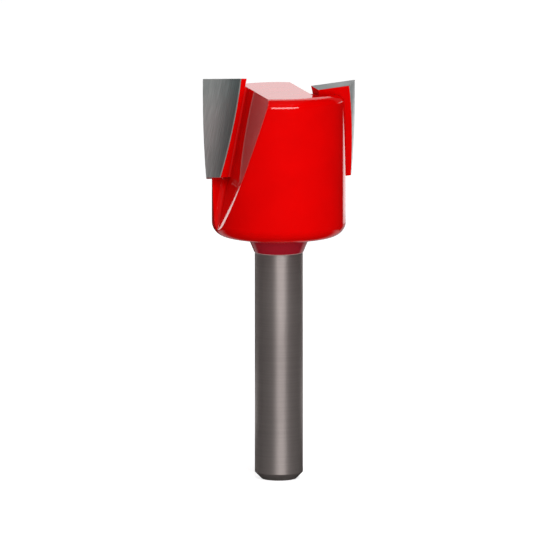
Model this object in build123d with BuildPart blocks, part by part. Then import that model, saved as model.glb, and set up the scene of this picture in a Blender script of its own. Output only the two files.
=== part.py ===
"""Two-flute router bit with brazed carbide tips, modelled in millimetres.

The bit stands on the flat end of its shank. The origin is the centre of that end, +Z runs up the
axis to the cutting end, and the bit turns anticlockwise seen from beyond the cutting end.
One flute and one tip are worked out near +X and repeated round the axis.
"""

import os
from math import cos, hypot, radians, sin, tan

from build123d import *

# turned blank
shank_diameter = 6.35
shank_chamfer = 0.9
shank_length = 30.15
paint_step = 0.1
neck_diameter = 8.5
neck_hollow = 0.03
head_diameter = 17.64
underside_height = 32.45
underside_rounding = 1.8
top_height = 51.6
rim_rounding = 1.2

# flutes
flute_count = 2
hook_angle = 27.6
shear_angle = 14.4
flute_angle = 81.8
flute_lean = 19.2
flute_fillet = 0.7

# carbide tips
cutting_diameter = 20.0
cutting_length = 12.7
tip_rise = 1.5
tip_position = -1.8
tip_width = 6.45
tip_thickness = 1.35
tip_slant = 13.5
foot_tilt = 2.0
dish_angle = 3.5
end_relief = 18.0
side_relief = 16.0
margin_height = 0.02
land_width = 0.8
land_foot_width = 1.05
land_hollow = 0.31
land_step = 0.05

# silver solder
solder_film = 0.15
solder_corner = 0.3

shank_radius = shank_diameter / 2
neck_radius = neck_diameter / 2
head_radius = head_diameter / 2
cutting_radius = cutting_diameter / 2
hook = radians(hook_angle)
shear = radians(shear_angle)
lean = radians(flute_lean)
dish = radians(dish_angle)
relief = radians(end_relief)

os.makedirs("parts", exist_ok=True)

# rake plane: local x runs inwards from the cutting corner, y up the face and z out of it
cutting_corner = Vector(cutting_radius, 0, top_height + tip_rise).rotate(Axis.Z, tip_position)
rake = Plane(
    origin=cutting_corner,
    x_dir=(-cos(hook), -sin(hook), 0),
    z_dir=(-sin(hook) * cos(shear), cos(hook) * cos(shear), sin(shear)),
)

# flute plane, square to the flute: local x runs outwards along the face and y out of the face
flute_direction = rake.y_dir * cos(lean) + rake.x_dir * sin(lean)
outward = rake.y_dir * sin(lean) - rake.x_dir * cos(lean)
inner_corner = rake.from_local_coords(Vector(tip_width, -tip_width * tan(dish), 0))
flute_plane = Plane(
    origin=inner_corner - outward * solder_corner, x_dir=outward, z_dir=flute_direction
)

# the turned blank: shank, neck and head
with BuildPart() as blank:
    with BuildSketch(Plane.XZ) as profile:
        with BuildLine():
            Polyline(
                (0, 0),
                (shank_radius - shank_chamfer, 0),
                (shank_radius, shank_chamfer),
                (shank_radius, shank_length),
                (shank_radius + paint_step, shank_length + paint_step),
            )
            SagittaArc(
                (shank_radius + paint_step, shank_length + paint_step),
                (neck_radius, underside_height),
                neck_hollow,
            )
            Polyline(
                (neck_radius, underside_height),
                (head_radius, underside_height),
                (head_radius, top_height),
                (0, top_height),
                (0, 0),
            )
        make_face()
        fillet(profile.vertices().group_by(Axis.X)[-1].sort_by(Axis.Y)[0], underside_rounding)
        fillet(profile.vertices().group_by(Axis.X)[-1].sort_by(Axis.Y)[-1], rim_rounding)
    revolve(axis=Axis.Z)

# the flute: a V with one wall behind the tip, filleted along its root
reach = cutting_diameter
seat_depth = tip_thickness + solder_film
root = Vector(-seat_depth / tan(radians(flute_angle)), -seat_depth)
far_wall = root + Vector(cos(radians(flute_angle)), sin(radians(flute_angle))) * reach
with BuildPart() as flute:
    with BuildSketch(flute_plane) as flute_section:
        Polygon(root, (reach, -seat_depth), (reach, far_wall.Y), far_wall, align=None)
        fillet(flute_section.vertices().sort_by_distance(root)[0], flute_fillet)
    extrude(amount=top_height, both=True)

with BuildPart() as body:
    add(blank.part)
    with PolarLocations(0, flute_count):
        add(flute.part, mode=Mode.SUBTRACT)
body.part.label = "body"
export_step(body.part, "parts/body.step")

# a tip's face in the rake plane: its end edges, and its inner edge along the flute
slant = radians(tip_slant)
tilt = radians(foot_tilt)
face_length = cutting_length / cos(shear)
end_edge = rake.x_dir * cos(dish) - rake.y_dir * sin(dish)
foot_edge = rake.x_dir * cos(tilt) - rake.y_dir * sin(tilt)
foot_corner = cutting_corner - rake.y_dir * face_length

# the end is relieved behind its edge, the inner side falls back too, and the foot is square
end_fall = Vector(sin(hook) * cos(relief), -cos(hook) * cos(relief), -sin(relief))
end_plane = Plane(origin=cutting_corner, x_dir=end_edge, z_dir=end_edge.cross(end_fall))
foot_plane = Plane(origin=foot_corner, x_dir=foot_edge, z_dir=foot_edge.cross(-rake.z_dir))
side_fall = outward * sin(slant) - rake.z_dir * cos(slant)
side_plane = Plane(
    origin=inner_corner, x_dir=flute_direction, z_dir=side_fall.cross(flute_direction)
)

# the side relief follows the cutting edge down the tip, behind a narrow margin
edge_direction = Vector(-sin(hook), cos(hook), 0)
top_radius = Vector(cutting_corner.X, cutting_corner.Y, 0)
depth = top_radius.dot(edge_direction) + cutting_length * tan(shear)
across = (cutting_radius**2 - depth**2) ** 0.5
bottom_radius = edge_direction * depth + Vector(cos(hook), sin(hook), 0) * across
offset = tan(radians(side_relief))
relief_top = top_radius.rotate(Axis.Z, 90) * offset + Vector(0, 0, cutting_corner.Z)
relief_bottom = bottom_radius.rotate(Axis.Z, 90) * offset + Vector(0, 0, foot_corner.Z)
relief_radius = hypot(cutting_radius, cutting_radius * offset) + margin_height
relief_plane = Plane(origin=relief_bottom, z_dir=relief_top - relief_bottom)

# the tip is a slab trimmed on every side, with a hollow-edged land left standing on its face
tip_inset = tip_width * (1 + tan(dish) * tan(lean))
foot_inset = tip_inset - face_length * tan(lean)
land_top = (tip_inset - land_width / cos(lean), 0)
land_bottom = (foot_inset - land_foot_width / cos(lean), -face_length)
with BuildPart() as tip:
    with BuildSketch(rake):
        Rectangle(4 * tip_width, 4 * cutting_length)
    extrude(amount=-tip_thickness)
    with BuildSketch(rake):
        with BuildLine():
            SagittaArc(land_top, land_bottom, land_hollow)
            Polyline(
                land_bottom,
                (land_bottom[0], -2 * face_length),
                (2 * tip_width, -2 * face_length),
                (2 * tip_width, tip_rise),
                (land_top[0], tip_rise),
                land_top,
            )
        make_face()
    extrude(amount=land_step)
    split(bisect_by=side_plane, keep=Keep.BOTTOM)
    split(bisect_by=end_plane, keep=Keep.BOTTOM)
    split(bisect_by=foot_plane, keep=Keep.TOP)
    with Locations(relief_plane):
        Cylinder(relief_radius, 3 * cutting_length, mode=Mode.INTERSECT)
    Cylinder(cutting_radius, 3 * top_height, mode=Mode.INTERSECT)

# the open space in front of a tip ends in a hollow bead of solder between the tip and the far wall
opening_half = radians(flute_angle / 2)
bead_radius = solder_corner * tan(opening_half)
with BuildPart() as open_space:
    with BuildSketch(flute_plane) as open_section:
        Polygon((0, 0), (reach, 0), (reach, reach), far_wall - root, align=None)
        fillet(open_section.vertices().sort_by_distance((0, 0, 0))[0], bead_radius)
    extrude(amount=top_height, both=True)

# the solder fills what is left of the flute round the tip
with BuildPart() as solder:
    add(flute.part)
    add(open_space.part, mode=Mode.SUBTRACT)
    split(bisect_by=foot_plane, keep=Keep.TOP)
    add(blank.part, mode=Mode.INTERSECT)
    add(tip.part, mode=Mode.SUBTRACT)

for number in range(flute_count):
    turn = Rot(0, 0, number * 360 / flute_count)
    carbide = turn * tip.part
    carbide.label = f"carbide_tip_{number + 1}"
    export_step(carbide, f"parts/{carbide.label}.step")
    braze = turn * solder.part
    braze.label = f"braze_{number + 1}"
    export_step(braze, f"parts/{braze.label}.step")
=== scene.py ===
import math
import bpy
import bmesh
import numpy as np
from mathutils import Matrix, Vector


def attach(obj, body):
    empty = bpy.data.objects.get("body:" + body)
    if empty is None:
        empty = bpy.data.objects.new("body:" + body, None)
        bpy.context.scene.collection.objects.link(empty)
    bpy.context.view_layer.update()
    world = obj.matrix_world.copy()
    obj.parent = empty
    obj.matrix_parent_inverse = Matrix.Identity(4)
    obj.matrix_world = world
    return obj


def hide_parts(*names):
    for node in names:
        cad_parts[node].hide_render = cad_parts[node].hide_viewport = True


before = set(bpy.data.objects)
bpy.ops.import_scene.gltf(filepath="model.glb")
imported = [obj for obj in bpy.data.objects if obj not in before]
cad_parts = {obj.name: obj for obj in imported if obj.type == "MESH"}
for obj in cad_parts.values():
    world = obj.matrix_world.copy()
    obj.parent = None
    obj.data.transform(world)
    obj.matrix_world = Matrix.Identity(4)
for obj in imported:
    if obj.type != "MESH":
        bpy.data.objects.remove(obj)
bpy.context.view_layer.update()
mm = 0.001

# the flute and tip as the solids have them, in degrees and millimetres
bit = {
    "hook": 27.6,
    "shear": 14.4,
    "cornerAngle": -1.8,
    "cuttingRadius": 10.0,
    "overall": 53.1,
    "dish": 3.5,
    "endRelief": 18.0,
    "lean": 19.2,
    "tipWidth": 6.45,
    "faceLength": 13.11,
    "landTop": 0.67,  # how far the land's edge lies from the face's inner edge, at the top
    "landFoot": 0.92,
    "landHollow": 0.31,
    "paintLine": 30.15,
    "paintStep": 0.12,
}


def newMaterial(name):
    # a material with one Principled shader, ready for its textures
    material = bpy.data.materials.new(name)
    material.use_nodes = True
    tree = material.node_tree
    return material, tree, tree.nodes["Principled BSDF"]


def feed(tree, socket, value):
    # an output is linked to the socket; a number or a colour is set on it
    if isinstance(value, bpy.types.NodeSocket):
        tree.links.new(value, socket)
    else:
        socket.default_value = (*value, 1) if isinstance(value, tuple) else value


def addNode(tree, kind, **values):
    # a node with its plain settings, and its sockets fed by name
    node = tree.nodes.new(kind)
    for key, value in values.items():
        if hasattr(node, key):
            setattr(node, key, value)
        else:
            feed(tree, node.inputs[key], value)
    return node


def arithmetic(tree, operation, *values):
    # one Math node; each value is an output or a number
    node = addNode(tree, "ShaderNodeMath", operation=operation)
    for socket, value in zip(node.inputs, values):
        feed(tree, socket, value)
    return node.outputs[0]


def carry(tree, value, start, end, low=0.0, high=1.0, curve="SMOOTHSTEP"):
    # the value carried from start..end to low..high, along an S curve unless it is LINEAR
    node = addNode(tree, "ShaderNodeMapRange", interpolation_type=curve, Value=value)
    for name, number in zip(("From Min", "From Max", "To Min", "To Max"), (start, end, low, high)):
        node.inputs[name].default_value = number
    return node.outputs["Result"]


def blend(tree, kind, factor, first, second, how="MIX"):
    # first at factor 0 and second at factor 1, for numbers (FLOAT) or colours (RGBA)
    node = addNode(tree, "ShaderNodeMix", data_type=kind)
    if kind == "RGBA":
        node.blend_type = how
    for name, value in (("Factor", factor), ("A", first), ("B", second)):
        feed(tree, node.inputs[name], value)
    return node.outputs["Result"]


def noise(tree, source, scale, detail, stretch=(1, 1, 1)):
    # noise over a coordinate output, stretched along its axes
    mapping = tree.nodes.new("ShaderNodeMapping")
    mapping.inputs["Scale"].default_value = stretch
    tree.links.new(source, mapping.inputs["Vector"])
    grain = addNode(
        tree, "ShaderNodeTexNoise", Scale=scale, Detail=detail, Vector=mapping.outputs["Vector"]
    )
    return grain.outputs["Fac"]


def objectPlace(tree):
    # Object coordinates, in metres
    return tree.nodes.new("ShaderNodeTexCoord").outputs["Object"]


def separate(tree, source):
    # the X, Y and Z of a coordinate output
    return addNode(tree, "ShaderNodeSeparateXYZ", Vector=source).outputs


def ramp(tree, source, low, high, stops=(0.3, 0.75)):
    # two colours, or greys, at two places along one output
    node = addNode(tree, "ShaderNodeValToRGB", Fac=source)
    for element, place, value in zip(node.color_ramp.elements, stops, (low, high)):
        element.position = place
        element.color = (*value, 1) if isinstance(value, tuple) else (value, value, value, 1)
    return node.outputs["Color"]


def roughen(tree, shader, height, strength, distance):
    # a bump from one height output
    bump = addNode(
        tree, "ShaderNodeBump", Strength=strength, Distance=distance, Height=height
    )
    tree.links.new(bump.outputs["Normal"], shader.inputs["Normal"])


# red paint, baked on, with a faint unevenness in its tone, a darker maroon on the neck below the
# head's underside,
# and darker in the corners of the flutes: painted shade from ambient occlusion, which also stands
# for paint that pools there
paint = {
    "deep": (0.82, 0.0, 0.0),
    "light": (0.88, 0.0, 0.0),
    "toneScale": 260.0,
    "neckTone": (0.42, 0.012, 0.025),
    "neckToneBelow": 0.0316,
    "headToneAbove": 0.0325,
    # the painted shade in corners: its factor at full occlusion, its reach in metres, and the
    # occlusion values it runs between
    "shadeAndPool": 0.66,
    "shadeAndPoolReach": 0.003,
    "shadeAndPoolStart": 0.35,
    "shadeAndPoolEnd": 0.85,
    "ior": 1.62,
    "peelScale": 900.0,
    "peelHeight": 0.000004,
    # the light pink of the paint's cut edge paints a highlight along the step
    "cutEdgeHighlight": (0.62, 0.40, 0.37),
    "cutEdgeRoughness": 0.4,
}
glossFinish = {"roughness": 0.06, "shine": 0.5, "shade": 1.0}
# the paint over the solder, in the corner of the flute, is also darker: painted shade
solderFinish = {"roughness": 0.55, "shine": 0.12, "shade": 0.85}


def makePaint(name, finish):
    # base colour: random tone over the darker neck colour by height, times the finish's painted
    # shade, and times the painted shade from ambient occlusion in corners, which also stands for
    # paint that pools there
    material, tree, shader = newMaterial(name)
    place = objectPlace(tree)
    tone = noise(tree, place, paint["toneScale"], 2.0)
    deep = tuple(channel * finish["shade"] for channel in paint["deep"])
    light = tuple(channel * finish["shade"] for channel in paint["light"])
    colour = ramp(tree, tone, deep, light)
    # a darker maroon on the neck below the head's underside, and the full red from there up
    aboveNeck = carry(tree, separate(tree, place)["Z"], paint["neckToneBelow"], paint["headToneAbove"])
    toneByHeight = blend(tree, "RGBA", aboveNeck, paint["neckTone"], colour)
    # painted shade: ambient occlusion darkens the colour in corners, above the neck only; it also
    # stands for paint that pools there
    corner = addNode(
        tree, "ShaderNodeAmbientOcclusion", samples=12, Distance=paint["shadeAndPoolReach"]
    ).outputs["AO"]
    shadeAndPool = carry(
        tree, corner, paint["shadeAndPoolStart"], paint["shadeAndPoolEnd"], paint["shadeAndPool"], 1.0, "LINEAR"
    )
    depth = blend(tree, "FLOAT", aboveNeck, 1.0, shadeAndPool)
    shadedAndPooled = addNode(tree, "ShaderNodeVectorMath", operation="SCALE", Scale=depth)
    tree.links.new(toneByHeight, shadedAndPooled.inputs[0])
    tree.links.new(shadedAndPooled.outputs["Vector"], shader.inputs["Base Color"])
    shader.inputs["Roughness"].default_value = finish["roughness"]
    shader.inputs["Specular IOR Level"].default_value = finish["shine"]
    shader.inputs["IOR"].default_value = paint["ior"]
    peel = noise(tree, place, paint["peelScale"], 1.0)
    roughen(tree, shader, peel, 0.5, paint["peelHeight"])
    return material


def makeCutEdgeHighlight():
    # the cut edge of the paint, where it ends on the shank, in a light pink: a painted highlight
    # along the step
    material, tree, shader = newMaterial("paintRimHighlight")
    shader.inputs["Base Color"].default_value = (*paint["cutEdgeHighlight"], 1)
    shader.inputs["Roughness"].default_value = paint["cutEdgeRoughness"]
    return material


# centreless-ground steel: rings round the axis, a little colour from the heat treatment
steel = {
    "dark": (0.462, 0.400, 0.385),
    "bright": (0.537, 0.472, 0.452),
    "metal": 0.80,
    "smoothest": 0.27,
    "roughest": 0.41,
    "ringScale": 5200.0,
    "ringStretch": (0.02, 0.02, 1.0),
    "ringHeight": 0.000004,
    "blotchScale": 130.0,
    "blotchStretch": (1, 1, 0.6),
    "blotchShare": 0.4,
}


def makeSteel():
    # colour from rings mixed with blotches, roughness from the blotches, bump from the rings
    material, tree, shader = newMaterial("groundShankSteel")
    place = objectPlace(tree)
    rings = noise(tree, place, steel["ringScale"], 3.0, steel["ringStretch"])
    blotch = noise(tree, place, steel["blotchScale"], 3.0, steel["blotchStretch"])
    tone = blend(tree, "FLOAT", steel["blotchShare"], rings, blotch)
    colour = ramp(tree, tone, steel["dark"], steel["bright"], (0.3, 0.7))
    tree.links.new(colour, shader.inputs["Base Color"])
    shader.inputs["Metallic"].default_value = steel["metal"]
    rough = carry(tree, blotch, 0.0, 1.0, steel["smoothest"], steel["roughest"], "LINEAR")
    tree.links.new(rough, shader.inputs["Roughness"])
    roughen(tree, shader, rings, 0.6, steel["ringHeight"])
    return material


# diamond-ground carbide: fine lines down the rake face, which is darker towards its inner side,
# painted shade where the flute's wall takes its reflection away, and a painted highlight along
# the land's edge where the wheel stopped
carbide = {
    # the rake face's grey at its inner side is painted shade; at its outer side it is its own grey
    "inner": (0.090, 0.116, 0.115),
    "outer": (0.30, 0.325, 0.32),
    "shadedTo": 1.2,
    "unshadedFrom": 5.4,
    "wander": 1.1,
    "lineStretch": (9.0, 0.35, 1.0),
    "lineShade": (0.82, 1.12),
    "lineHeight": 0.000003,
    # a lighter grey along the land's edge: a painted highlight where the wheel stopped
    "wheelHighlight": (0.35, 0.37, 0.35),
    "wheelHighlightWidth": 0.11,
    "metal": 0.35,
    "roughness": 0.42,
}


def makeRake():
    # UV in millimetres: U outwards from the face's inner edge, V up it. The land's edge is at
    # U = top + t * (foot - top - 4 * hollow * (1 - t)), where t runs from 0 to 1 down the face
    material, tree, shader = newMaterial("groundRakeFace")
    place = addNode(tree, "ShaderNodeUVMap", uv_map="face").outputs["UV"]
    split = separate(tree, place)
    lines = noise(tree, place, 1.0, 4.0, carbide["lineStretch"])
    # painted shade: the grey darkens towards the face's inner edge, by the flute's wall
    across = arithmetic(tree, "MULTIPLY_ADD", lines, carbide["wander"], split["X"])
    across = carry(tree, across, carbide["shadedTo"], carbide["unshadedFrom"])
    tone = blend(tree, "RGBA", across, carbide["inner"], carbide["outer"])
    streaks = ramp(tree, lines, *carbide["lineShade"], (0.3, 0.7))
    ground = blend(tree, "RGBA", 1.0, tone, streaks, "MULTIPLY")

    down = arithmetic(tree, "MULTIPLY", split["Y"], -1.0 / bit["faceLength"])
    arch = 4.0 * bit["landHollow"]
    fall = bit["landFoot"] - bit["landTop"] - arch
    edge = arithmetic(tree, "MULTIPLY_ADD", down, arch, fall)
    edge = arithmetic(tree, "MULTIPLY_ADD", edge, down, bit["landTop"])
    past = arithmetic(tree, "SUBTRACT", split["X"], edge)
    # painted highlight: the lighter grey along the land's edge
    width = carbide["wheelHighlightWidth"]
    line = carry(tree, past, 1.5 * width, 0.5 * width)
    highlighted = blend(tree, "RGBA", line, ground, carbide["wheelHighlight"])
    tree.links.new(highlighted, shader.inputs["Base Color"])
    shader.inputs["Metallic"].default_value = carbide["metal"]
    shader.inputs["Roughness"].default_value = carbide["roughness"]
    roughen(tree, shader, lines, 0.5, carbide["lineHeight"])
    return material


# the reliefs are brighter than the rake face, with grinding lines across them; the side relief is
# the end relief's greys made brighter, painted light
relief = {
    "dark": (0.24, 0.25, 0.25),
    "bright": (0.31, 0.32, 0.32),
    # how much brighter the side relief's greys are painted than the end relief's
    "sideLitGain": 2.3,
    "lineScale": 1500.0,
    "lineStretch": (0.3, 0.3, 1.0),
    "metal": 0.55,
    "roughness": 0.34,
}


def makeRelief(name, lift):
    # the two greys times lift, along the grinding lines
    material, tree, shader = newMaterial(name)
    lines = noise(tree, objectPlace(tree), relief["lineScale"], 3.0, relief["lineStretch"])
    dark = tuple(channel * lift for channel in relief["dark"])
    bright = tuple(channel * lift for channel in relief["bright"])
    tree.links.new(ramp(tree, lines, dark, bright, (0.3, 0.7)), shader.inputs["Base Color"])
    shader.inputs["Metallic"].default_value = relief["metal"]
    shader.inputs["Roughness"].default_value = relief["roughness"]
    return material


paintMaterial = makePaint("glossRedPaint", glossFinish)
solderPaint = makePaint("paintOverSolder", solderFinish)
cutEdgeHighlightMaterial = makeCutEdgeHighlight()
steelMaterial = makeSteel()
rakeMaterial = makeRake()
endMaterial = makeRelief("groundEndRelief", 1.0)
# painted light: the side relief is a brighter copy of the end relief
sideLitMaterial = makeRelief("groundSideReliefLit", relief["sideLitGain"])
print("materials made")


def mergedCopy(node, name):
    # a welded copy of a CAD node's mesh, its flat faces joined up again
    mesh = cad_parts[node].data.copy()
    mesh.name = name
    mesh.materials.clear()
    work = bmesh.new()
    work.from_mesh(mesh)
    bmesh.ops.remove_doubles(work, verts=work.verts, dist=0.0000005)
    bmesh.ops.dissolve_limit(
        work, angle_limit=math.radians(0.4), verts=work.verts, edges=work.edges
    )
    work.to_mesh(mesh)
    work.free()
    piece = bpy.data.objects.new(name, mesh)
    bpy.context.scene.collection.objects.link(piece)
    return piece


def faceArrays(mesh):
    # centres in millimetres, and normals, of every face
    count = len(mesh.polygons)
    centres, normals = np.empty(count * 3), np.empty(count * 3)
    mesh.polygons.foreach_get("center", centres)
    mesh.polygons.foreach_get("normal", normals)
    return centres.reshape(-1, 3) / mm, normals.reshape(-1, 3)


def smoothAndBevel(piece, look, keepSharp=frozenset()):
    # smooth shading, with every edge past look's angle bevelled, but not between keepSharp slots
    mesh = piece.data
    mesh.polygons.foreach_set("use_smooth", np.ones(len(mesh.polygons), dtype=bool))
    work = bmesh.new()
    work.from_mesh(mesh)
    weight = work.edges.layers.float.new("bevel_weight_edge")
    for edge in work.edges:
        if len(edge.link_faces) != 2 or edge.calc_face_angle(0) < look["sharp"]:
            continue
        if {face.material_index for face in edge.link_faces} <= keepSharp:
            edge.smooth = False
        else:
            edge[weight] = 1.0
    work.to_mesh(mesh)
    work.free()
    bevel = piece.modifiers.new("softEdges", "BEVEL")
    bevel.limit_method = "WEIGHT"
    bevel.width = look["edge"]
    bevel.segments = 3
    bevel.use_clamp_overlap = False
    bevel.miter_outer = "MITER_ARC"
    even = piece.modifiers.new("evenShading", "WEIGHTED_NORMAL")
    even.mode = "FACE_AREA"
    even.weight = 50
    even.keep_sharp = True


def dress(piece, materials, finish):
    # the materials in order, and the number of one of them for each face
    for material in materials:
        piece.data.materials.append(material)
    piece.data.polygons.foreach_set("material_index", finish.astype(np.int32))


bodyLook = {"edge": 0.00004, "sharp": math.radians(24)}


def makeBody():
    # paint above the line, its cut edge on the step in a light pink that paints a highlight there,
    # and bare steel below
    piece = mergedCopy("body", "paintedBody")
    height = faceArrays(piece.data)[0][:, 2] - bit["paintLine"]
    finish = np.select([height < -0.01, height < bit["paintStep"]], [1, 2], 0)
    dress(piece, [paintMaterial, steelMaterial, cutEdgeHighlightMaterial], finish)
    smoothAndBevel(piece, bodyLook)
    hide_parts("body")
    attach(piece, "root")


tipLook = {"edge": 0.00004, "sharp": math.radians(24)}


def tipPlanes(turn):
    # corner, rake normal and end normal of one tip, turned about the axis, in millimetres
    hook, shear = math.radians(bit["hook"]), math.radians(bit["shear"])
    dish, fall = math.radians(bit["dish"]), math.radians(bit["endRelief"])
    place = math.radians(bit["cornerAngle"])
    corner = Vector((math.cos(place), math.sin(place), 0)) * bit["cuttingRadius"]
    corner.z = bit["overall"]
    rake = Vector(
        (-math.sin(hook) * math.cos(shear), math.cos(hook) * math.cos(shear), math.sin(shear))
    )
    inward = Vector((-math.cos(hook), -math.sin(hook), 0))
    along = inward * math.cos(dish) - rake.cross(inward) * math.sin(dish)
    back = Vector((math.sin(hook), -math.cos(hook), 0)) * math.cos(fall)
    back.z = -math.sin(fall)
    end = along.cross(back).normalized()
    turned = Matrix.Rotation(turn, 3, "Z")
    return turned @ corner, turned @ rake, turned @ end


def mapFace(mesh, corner, rake):
    # UV in millimetres in the rake plane: U outwards from the leaning inner edge, V upwards
    inward = Vector((0, 0, 1)).cross(rake).normalized()
    upward = rake.cross(inward)
    lean = math.radians(bit["lean"])
    loops = np.empty(len(mesh.loops), dtype=np.int32)
    mesh.loops.foreach_get("vertex_index", loops)
    points = np.empty(len(mesh.vertices) * 3)
    mesh.vertices.foreach_get("co", points)
    offset = points.reshape(-1, 3) / mm - np.array(corner)
    depth, rise = offset @ np.array(inward), offset @ np.array(upward)
    across = (bit["tipWidth"] + rise * math.tan(lean) - depth) * math.cos(lean)
    layer = mesh.uv_layers.new(name="face")
    layer.data.foreach_set("uv", np.column_stack([across, rise])[loops].ravel())


def makeTip(number, turn):
    # paint all over, but for the end relief and the land's step, the rake face and the side relief
    node = f"carbide_tip_{number}"
    piece = mergedCopy(node, f"carbideTip{number}")
    corner, rake, end = tipPlanes(turn)
    centres, normals = faceArrays(piece.data)
    height = (centres - np.array(corner)) @ np.array(rake)
    radius = np.hypot(centres[:, 0], centres[:, 1])
    outward = (normals[:, :2] * centres[:, :2]).sum(axis=1) / radius
    face = (normals @ np.array(rake) > 0.99) & (height < 0.03)
    side = (outward > 0.7) & (radius > 9.2)
    step = (height > 0.001) & (height < 0.045) & ~face & ~side
    ground = (normals @ np.array(end) > 0.99) | step
    finish = np.select([side, face, ground], [3, 2, 1], 0)
    dress(piece, [paintMaterial, endMaterial, rakeMaterial, sideLitMaterial], finish)
    mapFace(piece.data, corner, rake)
    smoothAndBevel(piece, tipLook, keepSharp={1, 2, 3})
    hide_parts(node)
    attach(piece, "root")


makeBody()
makeTip(1, 0.0)
makeTip(2, math.pi)
for number in (1, 2):
    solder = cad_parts[f"braze_{number}"]
    solder.data.materials.clear()
    solder.data.materials.append(solderPaint)
print("pieces made")


# a pale floor; the camera sees it white with the bit's shadow, and it is darker in reflections
floorLook = {
    "size": 3.0,
    "pale": 0.80,
    "lift": 0.67,
    "bounce": 0.6,
    "near": 0.01,
    "rear": 0.28,
    "far": 1.5,
}
# the parts of it that reflections find bright, each fading in and out between two values of
# bearing from +Y in radians, of distance in metres or of Y in metres
floorZones = {
    "ring": ((-1.05, -0.95), (1.05, 0.95), (0.5, 0.75)),
    "card": ((0.10, 0.17), (0.65, 0.58), (0.19, 0.24)),
    "rear": ((-0.06, 0.04), (0.62, 0.55)),
    "foot": ((0.02, 0.045), (0.09, 0.07)),
}


def mirroredFloor(tree):
    # strength in reflections: the brightest of the zones, carried from near to far
    place = objectPlace(tree)
    split = separate(tree, place)
    bearing = arithmetic(tree, "ARCTAN2", split["X"], split["Y"])
    away = addNode(tree, "ShaderNodeVectorMath", operation="LENGTH")
    tree.links.new(place, away.inputs[0])
    distance = away.outputs["Value"]

    def zone(name, *sources):
        # the product of one soft step for each source
        product = 1.0
        for source, (start, end) in zip(sources, floorZones[name]):
            product = arithmetic(tree, "MULTIPLY", carry(tree, source, start, end), product)
        return product

    bright = arithmetic(
        tree,
        "MAXIMUM",
        zone("card", bearing, bearing, distance),
        zone("ring", bearing, bearing, distance),
    )
    behind = arithmetic(
        tree, "MAXIMUM", zone("rear", bearing, bearing), zone("foot", split["Y"], distance)
    )
    behind = arithmetic(tree, "MULTIPLY", behind, floorLook["rear"])
    bright = arithmetic(tree, "MAXIMUM", bright, behind)
    return carry(tree, bright, 0.0, 1.0, floorLook["near"], floorLook["far"], "LINEAR")


def pickShader(tree, chooser, otherwise, chosen):
    # the second shader where the light path's output is 1
    pick = tree.nodes.new("ShaderNodeMixShader")
    for socket, output in zip(pick.inputs, (chooser, otherwise, chosen)):
        tree.links.new(output, socket)
    return pick.outputs["Shader"]


def makeFloor():
    # a square, white to the camera but for the bit's shadow, with its own strength in reflections
    half = floorLook["size"]
    corners = [(-half, -half, 0), (half, -half, 0), (half, half, 0), (-half, half, 0)]
    mesh = bpy.data.meshes.new("studioFloor")
    mesh.from_pydata(corners, [], [(0, 1, 2, 3)])
    floor = bpy.data.objects.new("studioFloor", mesh)
    bpy.context.scene.collection.objects.link(floor)
    material = bpy.data.materials.new("paleFloor")
    material.use_nodes = True
    tree = material.node_tree
    tree.nodes.clear()
    output = tree.nodes.new("ShaderNodeOutputMaterial")
    path = tree.nodes.new("ShaderNodeLightPath").outputs
    pale = addNode(tree, "ShaderNodeBsdfDiffuse", Color=(floorLook["pale"],) * 3)
    lift = addNode(tree, "ShaderNodeEmission", Strength=floorLook["lift"])
    seen = tree.nodes.new("ShaderNodeAddShader")
    tree.links.new(pale.outputs["BSDF"], seen.inputs[0])
    tree.links.new(lift.outputs["Emission"], seen.inputs[1])
    bounce = addNode(tree, "ShaderNodeBsdfDiffuse", Color=(floorLook["bounce"],) * 3)
    mirrored = addNode(tree, "ShaderNodeEmission", Strength=mirroredFloor(tree))
    unseen = pickShader(
        tree, path["Is Glossy Ray"], bounce.outputs["BSDF"], mirrored.outputs["Emission"]
    )
    surface = pickShader(tree, path["Is Camera Ray"], unseen, seen.outputs["Shader"])
    tree.links.new(surface, output.inputs["Surface"])
    mesh.materials.append(material)


# the studio round the bit: white behind, dim round the camera, darker on the right and
# brighter on the left; each pair is where it fades, along Y or X of the direction
studio = {
    "dim": 0.07,
    "white": 1.18,
    "behindFade": (0.42, 0.58),
    "right": 0.1,
    "rightFade": (0.32, 0.5),
    "left": 1.7,
    "leftFade": (-0.38, -0.46),
}


def makeWorld():
    # strength: behind by Y, times the right and left factors by X; plain white to the camera
    world = bpy.data.worlds.new("studio")
    bpy.context.scene.world = world
    world.use_nodes = True
    tree = world.node_tree
    tree.nodes.clear()
    output = tree.nodes.new("ShaderNodeOutputWorld")
    split = separate(tree, tree.nodes.new("ShaderNodeTexCoord").outputs["Generated"])
    behind = carry(tree, split["Y"], *studio["behindFade"], studio["dim"], studio["white"])
    right = carry(tree, split["X"], *studio["rightFade"], 1.0, studio["right"])
    left = carry(tree, split["X"], *studio["leftFade"], 1.0, studio["left"])
    level = arithmetic(tree, "MULTIPLY", behind, arithmetic(tree, "MULTIPLY", right, left))
    light = addNode(tree, "ShaderNodeBackground", Color=(1, 1, 1), Strength=level)
    white = addNode(tree, "ShaderNodeBackground", Color=(1, 1, 1), Strength=1.0)
    path = tree.nodes.new("ShaderNodeLightPath").outputs
    surface = pickShader(
        tree, path["Is Camera Ray"], light.outputs["Background"], white.outputs["Background"]
    )
    tree.links.new(surface, output.inputs["Surface"])


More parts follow.
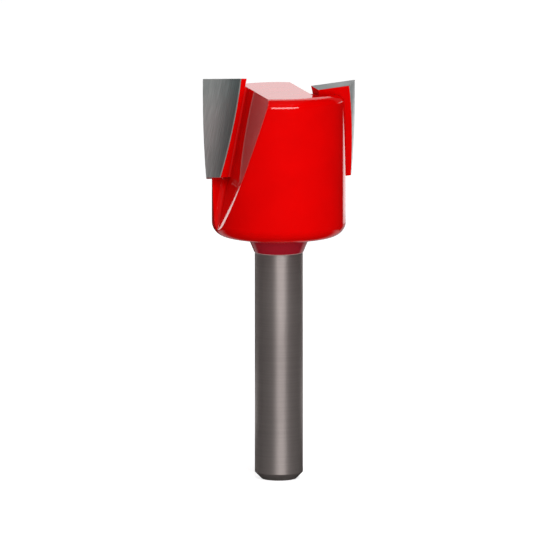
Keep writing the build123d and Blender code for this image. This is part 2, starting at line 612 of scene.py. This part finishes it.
# two soft boxes, in degrees, metres and watts; azimuth 0 is the camera's side, positive to its
# right, and the upper one is kept out of reflections
frontBox = {
    "azimuth": 10, "elevation": 9, "distance": 0.9, "wide": 0.75, "tall": 0.30, "power": 3.9
}
topBox = {
    "azimuth": 20, "elevation": 45, "distance": 0.9, "wide": 0.6, "tall": 0.5, "power": 4.1
}
boxAim = Vector((0, 0, 0.035))


def softbox(name, box):
    # a lamp at its distance along the direction of its two angles, facing the bit
    a, e = math.radians(box["azimuth"]), math.radians(box["elevation"])
    back = Vector((math.sin(a) * math.cos(e), -math.cos(a) * math.cos(e), math.sin(e)))
    lamp = bpy.data.lights.new(name, "AREA")
    lamp.shape = "RECTANGLE"
    lamp.size, lamp.size_y = box["wide"], box["tall"]
    lamp.energy = box["power"]
    holder = bpy.data.objects.new(name, lamp)
    holder.location = boxAim + back * box["distance"]
    holder.rotation_euler = back.to_track_quat("Z", "Y").to_euler()
    bpy.context.scene.collection.objects.link(holder)
    return holder


makeFloor()
makeWorld()
softbox("frontBox", frontBox)
softbox("topBox", topBox).visible_glossy = False


# the photograph's view: nine degrees down, along +Y, 7.6 pixels to the millimetre
view = {
    "elevation": 9.0,
    "lens": 1500.0,
    "sensor": 36.0,
    "pixels": 560,
    "scale": 7.6,
    "aimX": 0.15,
    "aimZ": 26.40,
}


def makeCamera():
    # far enough back for the lens to frame the view's width in millimetres
    camera = bpy.data.cameras.new("photoCamera")
    camera.lens = view["lens"]
    camera.sensor_width = view["sensor"]
    camera.clip_start, camera.clip_end = 0.01, 20.0
    holder = bpy.data.objects.new("photoCamera", camera)
    width = view["pixels"] / view["scale"] * mm
    distance = width * view["lens"] / view["sensor"]
    e = math.radians(view["elevation"])
    back = Vector((0, -math.cos(e), math.sin(e)))
    holder.location = Vector((view["aimX"] * mm, 0, view["aimZ"] * mm)) + back * distance
    holder.rotation_euler = back.to_track_quat("Z", "Y").to_euler()
    bpy.context.scene.collection.objects.link(holder)
    bpy.context.scene.camera = holder


makeCamera()
bpy.context.scene.view_settings.view_transform = "Standard"
print("studio made")
